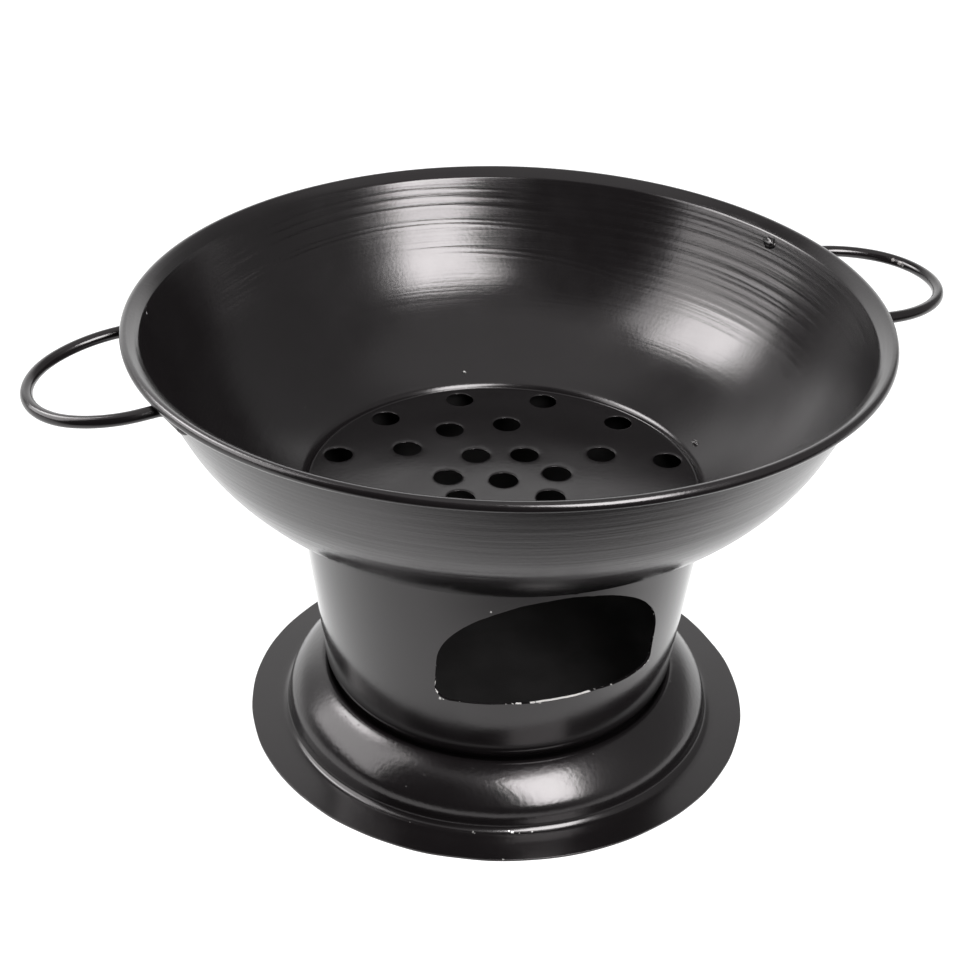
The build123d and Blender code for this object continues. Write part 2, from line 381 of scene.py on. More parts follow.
# The floor's outline and holes, filled with a triangular grid.
dish_rings = [HOLE / 2 + DISH_WIDTH * share for share in DISH_SHARES]
outlines = [circle(floor_edge, BOWL_SEGMENTS)]
for hx, hy in holes:
    outlines.append(circle(dish_rings[-1], HOLE_SEGMENTS, hx, hy))
floor_points = []
floor_edges = []
for outline in outlines:
    start = len(floor_points)
    for step, point in enumerate(outline):
        floor_points.append(Vector(point))
        floor_edges.append((start + step, start + (step + 1) % len(outline)))
rows = int(FLOOR_RADIUS / (FLOOR_GRID * GRID_ROW)) + 1
for row in range(-rows, rows + 1):
    for column in range(-rows, rows + 1):
        x = FLOOR_GRID * (column + 0.5 * (row % 2))
        y = FLOOR_GRID * GRID_ROW * row
        if hypot(x, y) > floor_edge - GRID_TO_STEP:
            continue
        if to_nearest_hole(x, y) > dish_rings[-1] + GRID_TO_DISH:
            floor_points.append(Vector((x, y)))
filled = delaunay_2d_cdt(floor_points, floor_edges, [], 0, FILL_TOLERANCE)
flat_points = filled[0]
flat_faces = filled[2]
floor_verts = [bowl_bm.verts.new((p.x, p.y, floor_height(p.x, p.y))) for p in flat_points]
for face in flat_faces:
    middle = sum((flat_points[index] for index in face), Vector((0, 0))) / len(face)
    if to_nearest_hole(middle.x, middle.y) > dish_rings[-1]:
        bowl_bm.faces.new([floor_verts[index] for index in face])
for hx, hy in holes:
    dishes = []
    for dish_radius in dish_rings:
        points = circle(dish_radius, HOLE_SEGMENTS, hx, hy)
        dishes.append([bowl_bm.verts.new((x, y, floor_height(x, y))) for x, y in points])
    for inner, outer in zip(dishes, dishes[1:]):
        join_rings(bowl_bm, inner, outer)
bmesh.ops.remove_doubles(bowl_bm, verts=bowl_bm.verts, dist=MERGE_DISTANCE)
bmesh.ops.recalc_face_normals(bowl_bm, faces=bowl_bm.faces)
if sum(face.normal.z * face.calc_area() for face in bowl_bm.faces) < 0:
    bmesh.ops.reverse_faces(bowl_bm, faces=bowl_bm.faces)
# The floor's faces take the second material, and the wall's the first.
for face in bowl_bm.faces:
    if all(
        hypot(vertex.co.x, vertex.co.y) < SHOWING_FOOT_RADIUS + FLOOR_MARGIN
        for vertex in face.verts
    ):
        face.material_index = 1
bowl_sheet = finish_piece(
    "bowl_sheet", bowl_bm, "bowl", SHEET, bevel=0.16, cut_edge=2
)


def nub(name, azimuth, radius, height, wide, proud, seed):
    """A small lump on the bowl's inside, where a weld outside has burnt through."""
    bm = bmesh.new()
    bmesh.ops.create_icosphere(bm, subdivisions=3, radius=1.0)
    slope = min(NUB_STEEPEST, WALL_START_ANGLE + (height - drum_top) * NUB_SLOPE_PER_MM)
    out = Vector((cosine(azimuth), sine(azimuth), 0))
    inward = Vector((-out.x * sine(slope), -out.y * sine(slope), cosine(slope)))
    side = Vector((-out.y, out.x, 0))
    up = inward.cross(side)
    place = Vector((radius * out.x, radius * out.y, height))
    for vertex in bm.verts:
        lump = noise.noise(vertex.co * NUB_LUMP_SCALE + Vector((seed, 0, 0)))
        x, y, z = vertex.co * (1 + NUB_LUMPS * lump)
        vertex.co = place + side * x * wide + up * y * wide * NUB_OVAL + inward * z * proud
    return finish_piece(name, bm, None)


# Azimuth, radius, height, half width, how far it stands proud, and seed.
weld_nubs = [
    nub("weld_nub_handle", 18.5, 178.8, 231.5, 3.9, 1.2, 2.0),
    nub("weld_nub_tack_side", 0.3, 108.8, 144.8, 2.1, 1.6, 5.0),
    nub("weld_nub_tack_back", 83.5, 111.3, 145.8, 1.1, 0.9, 8.0),
]

# ---- Ash drum --------------------------------------------------------------
step_run = (
    STEP_FOOT_BEND * sine(STEP_ANGLE)
    + STEP_RISER * cosine(STEP_ANGLE)
    + STEP_TOP_BEND * (sine(STEP_ANGLE) - sine(WALL_START_ANGLE))
)
drum_top_radius = FLOOR_RADIUS + step_run + DRUM_TO_STEP + SHEET
drum_foot_radius = drum_top_radius - DRUM_HEIGHT * tan(radians(DRUM_TAPER_ANGLE))
drum_flat_radius = drum_foot_radius - DRUM_FOOT_BEND * tan(radians(90 - DRUM_TAPER_ANGLE) / 2)
drum_bend_top = SEAT_HEIGHT + DRUM_FOOT_BEND * (1 - sine(DRUM_TAPER_ANGLE))
opening_sill = drum_top - OPENING_BELOW_DRUM_TOP - OPENING_ARCH - OPENING_SIDE
drum_edge = drum_top - SHEET * sine(DRUM_TAPER_ANGLE)


def drum_radius(height):
    return drum_top_radius - (drum_top - height) * tan(radians(DRUM_TAPER_ANGLE))


def ragged(place, seed):
    """Unevenness of the hand-cut edge at a place along it."""
    facet = FACET_DEPTH * noise.noise(Vector((place / FACET_SIZE, seed, 0)))
    return facet + TOOTH_DEPTH * noise.noise(Vector((place / TOOTH_SIZE, seed, 7)))


half_opening = OPENING_WIDTH / 2


def sill_at(u):
    """Height of the opening's lower edge, u millimetres to the right of its middle."""
    corner = OPENING_LEFT_CORNER if u < 0 else OPENING_RIGHT_CORNER
    inset = max(0.0, corner - (half_opening - abs(u)))
    rise = corner - sqrt(max(0.0, corner * corner - inset * inset))
    dip = SILL_DIP * exp(-(((u - SILL_DIP_PLACE) / SILL_DIP_SIZE) ** 2))
    level = opening_sill + u * tan(radians(OPENING_SILL_ANGLE))
    return level + rise - dip + ragged(u, 1.7) * SILL_RAGGED


def arch_at(u):
    """Height of the opening's upper edge."""
    share = max(0.0, 1 - (u / half_opening) ** 2)
    return opening_sill + OPENING_SIDE + OPENING_ARCH * sqrt(share) + ragged(u, 5.3)


def azimuth_at(u, height):
    """The azimuth of the drum's wall at u millimetres from the opening's middle."""
    return OPENING_FACING_ANGLE + asin(u / drum_radius(height)) * 180 / pi


# Columns of the drum's wall: the azimuths and heights of the opening's lower and
# upper edge, and whether the column is an end of the opening.  The first ones
# cross the opening, closer together towards its ends, and the rest go on round.
columns = []
for step in range(OPENING_COLUMNS + 1):
    share = step / OPENING_COLUMNS - 0.5
    crowded = OPENING_CROWDING * sin(pi * share) + (1 - OPENING_CROWDING) * 2 * share
    u = half_opening * crowded
    low = sill_at(u)
    high = arch_at(u)
    low_angle = azimuth_at(u, low)
    high_angle = azimuth_at(u, high)
    columns.append((low_angle, high_angle, low, high, step in (0, OPENING_COLUMNS)))
first = columns[0]
last = columns[-1]
for step in range(1, WALL_COLUMNS):
    share = step / WALL_COLUMNS
    fade = min(1.0, step / WALL_COLUMNS_FADE, (WALL_COLUMNS - step) / WALL_COLUMNS_FADE)
    low_angle = last[0] + (first[0] + 360 - last[0]) * share
    high_angle = last[1] + (first[1] + 360 - last[1]) * share
    edge_low = last[2] if share < 0.5 else first[2]
    edge_high = last[3] if share < 0.5 else first[3]
    low = edge_low + (opening_sill + WALL_LOW_RISE - edge_low) * fade
    high = edge_high + (opening_sill + OPENING_SIDE - edge_high) * fade
    columns.append((low_angle, high_angle, low, high, False))

drum_section = Section(0, SEAT_HEIGHT).line(drum_flat_radius, 4)
drum_section.arc(DRUM_FOOT_BEND, 90 - DRUM_TAPER_ANGLE, 12)
drum_bm = bmesh.new()
drum_centre = drum_bm.verts.new((0, 0, SEAT_HEIGHT))


def drum_vertex(angle, height, radius=None):
    """A vertex of the drum, on its tapered wall where no radius is given."""
    radius = drum_radius(height) if radius is None else radius
    if height > drum_bend_top:
        share = clamp((height - drum_bend_top) / DRUM_WAVE_FADE)
        share *= clamp((drum_edge - height) / DRUM_WAVE_FADE)
        radius += share * waviness(angle, radius, height, DRUM_WAVE_SIZE, DRUM_WAVE)
    return drum_bm.verts.new((radius * cosine(angle), radius * sine(angle), height))


# A strip per column: below the opening, across its height where there is wall, and above.
strips = []
for index, (low_angle, high_angle, low, high, edge) in enumerate(columns):
    lower = [drum_vertex(low_angle, z, r) for r, z in drum_section.points[1:]]
    for row in range(1, LOW_ROWS + 1):
        height = drum_bend_top + (low - drum_bend_top) * row / LOW_ROWS
        lower.append(drum_vertex(low_angle, height))
    upper = []
    for row in range(HIGH_ROWS + 1):
        upper.append(drum_vertex(high_angle, high + (drum_edge - high) * row / HIGH_ROWS))
    middle = []
    if index == 0 or index >= OPENING_COLUMNS:
        middle.append(lower[-1])
        for row in range(1, SIDE_ROWS):
            share = row / SIDE_ROWS
            height = low + (high - low) * share
            jog = ragged(height, 9.1 + index) * SIDE_RAGGED if edge else 0
            angle = low_angle + (high_angle - low_angle) * share + jog
            middle.append(drum_vertex(angle, height))
        middle.append(upper[0])
    strips.append((lower, middle, upper))
for index, strip in enumerate(strips):
    after = strips[(index + 1) % len(strips)]
    drum_bm.faces.new((drum_centre, after[0][0], strip[0][0]))
    for here, there in zip(strip, after):
        if here and there and (here is not strip[1] or index >= OPENING_COLUMNS):
            for row in range(len(here) - 1):
                drum_bm.faces.new((here[row], there[row], there[row + 1], here[row + 1]))
bmesh.ops.recalc_face_normals(drum_bm, faces=drum_bm.faces)
if sum(face.normal.z for face in drum_centre.link_faces) > 0:
    bmesh.ops.reverse_faces(drum_bm, faces=drum_bm.faces)
drum_sheet = finish_piece(
    "drum_sheet", drum_bm, "ash_drum", SHEET, bevel=0.3, inside=1, cut_edge=2
)

# ---- Foot ring -------------------------------------------------------------
crest_centre = SEAT_HEIGHT + SEAT_BEND + GROOVE_WALL
crest_to_drum_bend = DRUM_FOOT_BEND + GROOVE_GAP + CREST_BEND
crest_below_drum_bend = SEAT_HEIGHT + DRUM_FOOT_BEND - crest_centre
crest_radius = drum_flat_radius + sqrt(crest_to_drum_bend**2 - crest_below_drum_bend**2)
groove_radius = crest_radius - CREST_BEND
shoulder_centre = SHEET + FOOT_BEND + DOME_SIDE
slope_top = crest_centre + CREST_BEND * cosine(SLOPE_START_ANGLE)
slope_bottom = shoulder_centre + SHOULDER_BEND * cosine(SLOPE_END_ANGLE)
slope_bend = (slope_top - slope_bottom) / (cosine(SLOPE_START_ANGLE) - cosine(SLOPE_END_ANGLE))
ring_section = (
    Section(drum_flat_radius - SEAT_WIDTH, SEAT_HEIGHT)
    .line(groove_radius - SEAT_BEND - drum_flat_radius + SEAT_WIDTH, 4)
    .arc(SEAT_BEND, 90, 8)
    .line(GROOVE_WALL)
    .arc(CREST_BEND, -90 - SLOPE_START_ANGLE, 14)
    .arc(slope_bend, SLOPE_START_ANGLE - SLOPE_END_ANGLE, 12)
    .arc(SHOULDER_BEND, SLOPE_END_ANGLE - 90, 12)
    .line(DOME_SIDE)
    .arc(FOOT_BEND, 90, 10)
    .line(FLANGE_WIDTH - FOOT_BEND, 6)
)


def ring_shape(angle, radius, height):
    """The pressed dome is a little uneven, and the flange's edge is hand-trimmed."""
    share = clamp((radius - crest_radius) / RING_WAVE_FADE)
    share *= clamp((height - RING_WAVE_START) / RING_WAVE_FADE)
    radius += share * waviness(angle, radius, height, RING_WAVE_SIZE, RING_WAVE)
    flange_end = ring_section.points[-1][0]
    trim = clamp((radius - flange_end + TRIM_WIDTH) / TRIM_WIDTH)
    cut = TRIM_MEAN + waviness(angle, radius, height, TRIM_WAVE_SIZE, TRIM_WAVE)
    return radius - trim * cut, height


ring_bm = bmesh.new()
turn_section(ring_bm, ring_section, RING_SEGMENTS, ring_shape)
ring_sheet = finish_piece("ring_sheet", ring_bm, "foot_ring", SHEET, bevel=0.2)


# ---- Materials -------------------------------------------------------------
# The darkest and lightest tone of each paint.
BLACK = ((0.0034, 0.0028, 0.0030), (0.0046, 0.0039, 0.0042))
# Inside the drum: the light tone is ash and painted light low down, the dark tone near the top
# is painted shade.
INSIDE_ASH_AND_PAINTED_LIGHT = ((0.0022, 0.0020, 0.0020), (0.0175, 0.0166, 0.0166))
# The punched holes' walls: light tones that are a painted highlight.
HOLE_WALL_PAINTED_HIGHLIGHT = ((0.070, 0.066, 0.064), (0.26, 0.248, 0.242))
TONE_SCALE = 60
PAINT_IOR = 1.5
PAINT_TINT = (1.0, 0.96, 0.967, 1)
# Bare steel where the paint has gone, and how much rougher it is.
BARE_STEEL = (0.42, 0.41, 0.40)
# The lighter rubbed steel also stands in for a painted highlight along the sill.
RUBBED_STEEL_AND_HIGHLIGHT = (0.56, 0.54, 0.53)
DULL_STEEL = (0.16, 0.152, 0.148)
BARE_ROUGHER = 0.12
# Most of a noise texture lies between these.
NOISE_LOW = 0.3
NOISE_HIGH = 0.7
# A chip fades out between these shares of its radius, and its edge wanders, in metres.
CHIP_FULL = 0.8
CHIP_END = 1.1
CHIP_WOBBLE = 0.0016
CHIP_WOBBLE_SCALE = 900
# Spots where the paint has chipped off or is rubbed bare: x, y, z and radius in mm.
# On the drum, by its opening:
DRUM_CHIPS = (
    (-38.7, -98.7, 129.5, 0.55),
    (-57.7, -79.9, 68.1, 0.75),
    (-56.4, -80.8, 67.8, 0.55),
    (-11.3, -98.1, 68.6, 0.55),
    (52.3, -84.0, 71.3, 0.5),
)
# On the cut edge of the opening's sill, rubbed bare, and lighter there as a painted highlight of
# its lit edge:
SILL_BARE_AND_HIGHLIGHT = (
    (-15.0, -97.4, 69.6, 1.6),
    (-11.0, -98.0, 69.7, 2.6),
    (-6.5, -98.3, 69.7, 3.0),
    (-1.8, -98.5, 69.8, 3.0),
    (3.1, -98.4, 69.9, 3.0),
    (7.9, -98.2, 69.9, 3.0),
    (13.0, -97.6, 69.9, 2.6),
    (-22.0, -96.0, 69.3, 1.6),
)
# On the right handle:
HANDLE_CHIPS = (
    (226.3, 20.9, 230.0, 1.1),
    (228.4, 17.2, 229.5, 1.3),
    (229.4, 15.2, 228.6, 0.7),
)
# On the foot ring's flange:
RING_CHIPS = (
    (-48.0, -108.0, 1.6, 0.5),
    (-47.4, -108.8, 1.4, 0.4),
    (-30.6, -113.3, 2.6, 0.6),
    (-28.9, -114.2, 2.0, 0.7),
    (-25.6, -115.4, 1.6, 0.45),
    (-19.3, -116.5, 1.9, 0.55),
    (-39.4, -130.5, 1.2, 0.35),
    (-76.4, -91.5, 1.3, 0.35),
)


class Nodes:
    """A node tree, with short ways of adding to it."""

    def __init__(self, tree):
        self.tree = tree

    def node(self, kind, **settings):
        made = self.tree.nodes.new(kind)
        for name, value in settings.items():
            setattr(made, name, value)
        return made

    def link(self, source, target):
        self.tree.links.new(source, target)

    def math(self, operation, first, second=None, third=None):
        made = self.node("ShaderNodeMath", operation=operation)
        for socket, value in zip(made.inputs, (first, second, third)):
            if value is None:
                continue
            if isinstance(value, (int, float)):
                socket.default_value = value
            else:
                self.link(value, socket)
        return made.outputs[0]

    def times(self, first, second):
        return self.math("MULTIPLY", first, second)

    def span(self, value, low, high, to_low=0.0, to_high=1.0):
        """A smooth change from to_low to to_high while the value goes from low to high."""
        made = self.node("ShaderNodeMapRange", interpolation_type="SMOOTHSTEP")
        self.link(value, made.inputs["Value"])
        made.inputs["From Min"].default_value = low
        made.inputs["From Max"].default_value = high
        made.inputs["To Min"].default_value = to_low
        made.inputs["To Max"].default_value = to_high
        return made.outputs["Result"]

    def split(self, vector):
        """The three numbers of a vector."""
        made = self.node("ShaderNodeSeparateXYZ")
        self.link(vector, made.inputs[0])
        return made.outputs[0], made.outputs[1], made.outputs[2]


class Paint(Nodes):
    """A node material of black paint on sheet steel.

    Its lengths are in metres, except where millimetres are named."""

    def __init__(self, name, tones):
        self.material = bpy.data.materials.new(name)
        self.material.use_nodes = True
        super().__init__(self.material.node_tree)
        self.shader = self.tree.nodes["Principled BSDF"]
        self.shader.inputs["IOR"].default_value = PAINT_IOR
        self.shader.inputs["Specular Tint"].default_value = PAINT_TINT
        self.place = self.node("ShaderNodeTexCoord").outputs["Object"]
        self.height = None
        self.tones = tones

    def noise(self, scale, detail, roughness=0.5, vector=None):
        made = self.node("ShaderNodeTexNoise")
        made.inputs["Scale"].default_value = scale
        made.inputs["Detail"].default_value = detail
        made.inputs["Roughness"].default_value = roughness
        self.link(self.place if vector is None else vector, made.inputs["Vector"])
        return made.outputs["Fac"]

    def blotches(self, scale, detail, low, high):
        """Noise that wanders from low to high over the surface."""
        return self.span(self.noise(scale, detail), NOISE_LOW, NOISE_HIGH, low, high)

    def around(self):
        """Radius, height and the direction from the axis."""
        x, y, z = self.split(self.place)
        radius = self.math("SQRT", self.math("ADD", self.times(x, x), self.times(y, y)))
        safe = self.math("MAXIMUM", radius, MM)
        return radius, z, self.math("DIVIDE", x, safe), self.math("DIVIDE", y, safe)

    def along(self, turn_x, turn_y, run, reach, pitch):
        """Noise drawn out round the axis: reach says how fast it changes round, and
        pitch how wide its lines are."""
        joined = self.node("ShaderNodeCombineXYZ")
        self.link(self.times(turn_x, reach), joined.inputs[0])
        self.link(self.times(turn_y, reach), joined.inputs[1])
        self.link(self.math("DIVIDE", run, pitch), joined.inputs[2])
        return self.noise(1.0, 3.0, 0.6, joined.outputs[0])

    def groove(self, level, turn_x, turn_y, at, wide, deep, middle, reach):
        """A turned groove, which fades out away from its middle azimuth.

        Its height, width and depth (at, wide and deep) are in millimetres."""
        off = self.math("DIVIDE", self.math("SUBTRACT", level, at * MM), wide * MM)
        dip = self.math("EXPONENT", self.times(self.times(off, off), -1.0))
        ahead = self.times(turn_y, sine(middle))
        ahead = self.math("MULTIPLY_ADD", turn_x, cosine(middle), ahead)
        edge = cosine(reach)
        full = cosine(reach * GROOVE_FULL)
        return self.times(dip, self.span(ahead, edge, full, 0.0, -deep))

    def near(self, spots):
        """One inside any of the small round spots (x, y, z, radius in mm), with ragged edges."""
        wobble = self.node("ShaderNodeTexNoise")
        wobble.inputs["Scale"].default_value = CHIP_WOBBLE_SCALE
        self.link(self.place, wobble.inputs["Vector"])
        ragged_place = self.node("ShaderNodeVectorMath", operation="MULTIPLY_ADD")
        self.link(wobble.outputs["Color"], ragged_place.inputs[0])
        ragged_place.inputs[1].default_value = (CHIP_WOBBLE, CHIP_WOBBLE, CHIP_WOBBLE)
        self.link(self.place, ragged_place.inputs[2])
        total = None
        for *middle, size in spots:
            gap = self.node("ShaderNodeVectorMath", operation="DISTANCE")
            self.link(ragged_place.outputs[0], gap.inputs[0])
            gap.inputs[1].default_value = [at * MM + CHIP_WOBBLE / 2 for at in middle]
            full = size * CHIP_FULL * MM
            inside = self.span(gap.outputs["Value"], full, size * CHIP_END * MM, 1.0, 0.0)
            total = inside if total is None else self.math("MAXIMUM", total, inside)
        return total

    def specks(self, scale, size, share):
        """One inside sparse round specks, which a share of a Voronoi texture's cells has."""
        cells = self.node("ShaderNodeTexVoronoi")
        cells.inputs["Scale"].default_value = scale
        self.link(self.place, cells.inputs["Vector"])
        speck = self.span(cells.outputs["Distance"], size * 0.5, size, 1.0, 0.0)
        chance = self.node("ShaderNodeSeparateColor")
        self.link(cells.outputs["Color"], chance.inputs[0])
        return self.times(speck, self.math("LESS_THAN", chance.outputs[0], share))

    def bump(self, height, distance):
        """Adds a relief: height is a number socket, and one of it is this far out."""
        made = self.node("ShaderNodeBump")
        made.inputs["Distance"].default_value = distance
        made.inputs["Strength"].default_value = 1.0
        self.link(height, made.inputs["Height"])
        if self.height is not None:
            self.link(self.height, made.inputs["Normal"])
        self.height = made.outputs["Normal"]

    def peel(self, scale, detail, distance):
        """Orange peel and other fine unevenness all over."""
        self.bump(self.noise(scale, detail), distance)

    def mix(self, factor, first, second):
        made = self.node("ShaderNodeMix", data_type="RGBA")
        self.link(factor, made.inputs["Factor"])
        for socket, colour in ((made.inputs["A"], first), (made.inputs["B"], second)):
            if isinstance(colour, tuple):
                socket.default_value = (*colour, 1)
            else:
                self.link(colour, socket)
        return made.outputs["Result"]

    def finish(self, rough, tone=None, bare=None, steel=BARE_STEEL, shine=1.0):
        """Sets the roughness, the colour between the two tones, and bare steel in places."""
        tone = self.noise(TONE_SCALE, 3.0) if tone is None else tone
        colour = self.mix(tone, *self.tones)
        if bare is not None:
            colour = self.mix(bare, colour, steel)
            self.link(self.times(bare, shine), self.shader.inputs["Metallic"])
            rough = self.math("MULTIPLY_ADD", bare, BARE_ROUGHER, rough)
        self.link(rough, self.shader.inputs["Roughness"])
        self.link(colour, self.shader.inputs["Base Color"])
        if self.height is not None:
            self.link(self.height, self.shader.inputs["Normal"])
        return self.material


# Turned grooves of the wall: level, width and depth in mm, middle azimuth and reach.
BACK_GROOVES = (
    (231.0, 0.9, 0.070, 95, 36),
    (226.8, 1.0, 0.085, 98, 38),
    (222.2, 1.1, 0.105, 98, 40),
    (214.4, 0.8, 0.080, 100, 40),
    (212.0, 1.0, 0.110, 95, 44),
    (199.4, 1.0, 0.095, 70, 30),
    (196.7, 0.9, 0.080, 66, 27),
)
SIDE_GROOVES = (
    (232.4, 1.1, 0.040, 30, 26),
    (229.3, 1.3, 0.070, 36, 34),
    (226.0, 1.1, 0.050, 26, 24),
    (222.4, 1.5, 0.095, 32, 36),
    (217.6, 1.0, 0.045, 20, 22),
    (215.4, 1.4, 0.085, 27, 36),
    (210.3, 1.6, 0.105, 30, 38),
    (206.6, 0.9, 0.050, 22, 22),
    (203.9, 1.4, 0.100, 25, 36),
    (200.3, 1.2, 0.060, 30, 30),
    (196.0, 1.6, 0.100, 22, 36),
    (191.8, 1.1, 0.055, 26, 26),
    (188.2, 1.5, 0.075, 18, 32),
    (181.0, 1.4, 0.050, 14, 26),
)
# The back's grooves dip this far, in metres, a quarter turn away from the back.
GROOVE_TILT = 0.030
# The share of its reach within which a groove has its full depth.
GROOVE_FULL = 0.45


def bowl_paint():
    """The bowl's spun wall, with turning lines that grow stronger towards the rim."""
    paint = Paint("bowl_paint_detail", BLACK)
    radius, height, turn_x, turn_y = paint.around()
    run = paint.math("ADD", radius, height)
    fine = paint.along(turn_x, turn_y, run, 1.3, 0.0017)
    broad = paint.along(turn_x, turn_y, run, 0.9, 0.0055)
    upper = paint.span(height, 0.150, 0.205, 0.35, 1.0)
    wall = paint.span(height, 0.1425, 0.150)
    strength = paint.times(upper, wall)
    paint.bump(paint.times(fine, strength), 0.000040)
    paint.bump(paint.times(broad, strength), 0.00016)
    tilt = paint.math("MULTIPLY_ADD", turn_y, -GROOVE_TILT, GROOVE_TILT)
    tilted = paint.math("ADD", height, tilt)
    marks = None
    for level, grooves in ((tilted, BACK_GROOVES), (height, SIDE_GROOVES)):
        for groove in grooves:
            mark = paint.groove(level, turn_x, turn_y, *groove)
            marks = mark if marks is None else paint.math("ADD", marks, mark)
    uneven = paint.blotches(22, 2.0, 0.55, 1.15)
    paint.bump(paint.times(marks, uneven), MM)
    paint.peel(520, 2.0, 0.000036)
    paint.bump(paint.specks(150, 0.055, 0.10), 0.00012)
    return paint.finish(paint.blotches(30, 4.0, 0.19, 0.24))


def grate_paint():
    """The perforated floor, duller than the wall."""
    paint = Paint("grate_paint_detail", BLACK)
    paint.shader.inputs["Specular IOR Level"].default_value = 0.20
    paint.peel(520, 2.0, 0.000030)
    paint.peel(120, 3.0, 0.000060)
    return paint.finish(paint.blotches(45, 4.0, 0.34, 0.44), paint.noise(80, 4.0))


def punched_edge_paint():
    """The punched holes' walls, lightened all over as a painted highlight of their lit edges,
    mottled at random.
    """
    paint = Paint("punched_edge_detail", HOLE_WALL_PAINTED_HIGHLIGHT)
    paint.peel(900, 2.0, 0.00004)
    # Random mottling within the painted highlight.
    highlight_mottle = paint.span(paint.noise(240, 3.0), 0.40, 0.60)
    return paint.finish(paint.blotches(120, 3.0, 0.30, 0.42), highlight_mottle)


def drum_paint():
    """The drum's glossy outside, with a few specks of grit under the paint."""
    paint = Paint("drum_paint_detail", BLACK)
    paint.peel(420, 2.0, 0.000014)
    paint.bump(paint.specks(120, 0.05, 0.12), 0.00010)
    return paint.finish(paint.blotches(25, 4.0, 0.11, 0.16), bare=paint.near(DRUM_CHIPS))


def drum_edge_paint():
    """The opening's cut edge, where the paint is thin and chipped, and lighter along the sill as
    a painted highlight.
    """
    paint = Paint("drum_edge_detail", BLACK)
    paint.peel(900, 2.0, 0.00004)
    worn_and_highlight = paint.span(paint.noise(260, 3.0), 0.60, 0.66)
    worn_and_highlight = paint.math("MAXIMUM", worn_and_highlight, paint.near(DRUM_CHIPS))
    # Bare spots along the sill that are also a painted highlight.
    worn_and_highlight = paint.math("MAXIMUM", worn_and_highlight, paint.near(SILL_BARE_AND_HIGHLIGHT))
    rough = paint.blotches(60, 3.0, 0.20, 0.30)
    return paint.finish(rough, bare=worn_and_highlight, steel=RUBBED_STEEL_AND_HIGHLIGHT, shine=0.25)


def drum_inside():
    """Dull paint inside the drum, lighter low down, partly a film of ash and scale and partly
    painted light, and darker near the top as painted shade.
    """
    paint = Paint("drum_inside_detail", INSIDE_ASH_AND_PAINTED_LIGHT)
    paint.shader.inputs["Specular IOR Level"].default_value = 0.12
    paint.peel(350, 4.0, 0.00005)
    height = paint.split(paint.place)[2]
    # Ash and painted light low down, fading to painted shade near the top.
    ash_and_painted_light = paint.times(
        paint.blotches(35, 5.0, 0.62, 0.95), paint.span(height, 0.100, 0.128, 1.0, 0.0)
    )
    return paint.finish(paint.blotches(40, 4.0, 0.66, 0.82), ash_and_painted_light)


def ring_paint():
    """The pressed foot, with orange peel and small pits on its dome."""
    paint = Paint("ring_paint_detail", BLACK)
    height = paint.split(paint.place)[2]
    dome = paint.span(height, 0.003, 0.010)
    paint.bump(paint.times(paint.noise(430, 2.0), dome), 0.00007)
    paint.peel(300, 2.0, 0.000012)
    paint.bump(paint.times(paint.specks(210, 0.10, 0.16), dome), -0.00016)
    return paint.finish(paint.blotches(25, 4.0, 0.18, 0.23), bare=paint.near(RING_CHIPS))


def wire_paint():
    """The handles' drawn wire and the welds."""
    paint = Paint("wire_paint_detail", BLACK)
    paint.peel(300, 2.0, 0.000020)
    rough = paint.blotches(40, 3.0, 0.16, 0.22)
    return paint.finish(rough, bare=paint.near(HANDLE_CHIPS), steel=DULL_STEEL, shine=0.3)


def spatter_highlight_paint():
    """Weld spatter that the paint half covers; its bare steel is also a painted highlight on the
    lumps.
    """
    paint = Paint("weld_spatter_highlight_detail", BLACK)
    bare = paint.span(paint.noise(700, 2.0), 0.44, 0.56)
    return paint.finish(paint.blotches(400, 2.0, 0.25, 0.35), bare=bare, shine=0.4)


def dress(piece, *materials):
    """Gives a piece its materials, in the order in which its faces count them."""
    piece.data.materials.clear()
    for material in materials:
        piece.data.materials.append(material)


bowl_material = bowl_paint()
wire_material = wire_paint()
spatter_and_highlight = spatter_highlight_paint()
# The bowl's showing side has two materials, the wall's and the floor's, so a cut
# edge of the wall is the third one and a cut edge of the floor the fourth.
dress(bowl_sheet, bowl_material, grate_paint(), bowl_material, punched_edge_paint())
dress(drum_sheet, drum_paint(), drum_inside(), drum_edge_paint())
dress(ring_sheet, ring_paint())
dress(weld_nubs[0], wire_material)
# The tack lumps' spatter is also a painted highlight.
for piece in weld_nubs[1:]:
    dress(piece, spatter_and_highlight)
for name in (
    "handle_left",
    "handle_right",
    "handle_welds_left",
    "handle_welds_right",
    "bowl_tack_welds",
    "foot_tack_welds",
):
    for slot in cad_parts[name].material_slots:
        slot.material = wire_material

# ---- Floor -----------------------------------------------------------------
# From here on lengths are in metres, apart from the camera's place and lens.
FLOOR_HALF_SIZE = 6.0
FLOOR_DROP = 0.0002
FLOOR_GREY = 0.30
# How bright the camera sees the floor, besides what the lamps add.
FLOOR_WHITE = 0.88

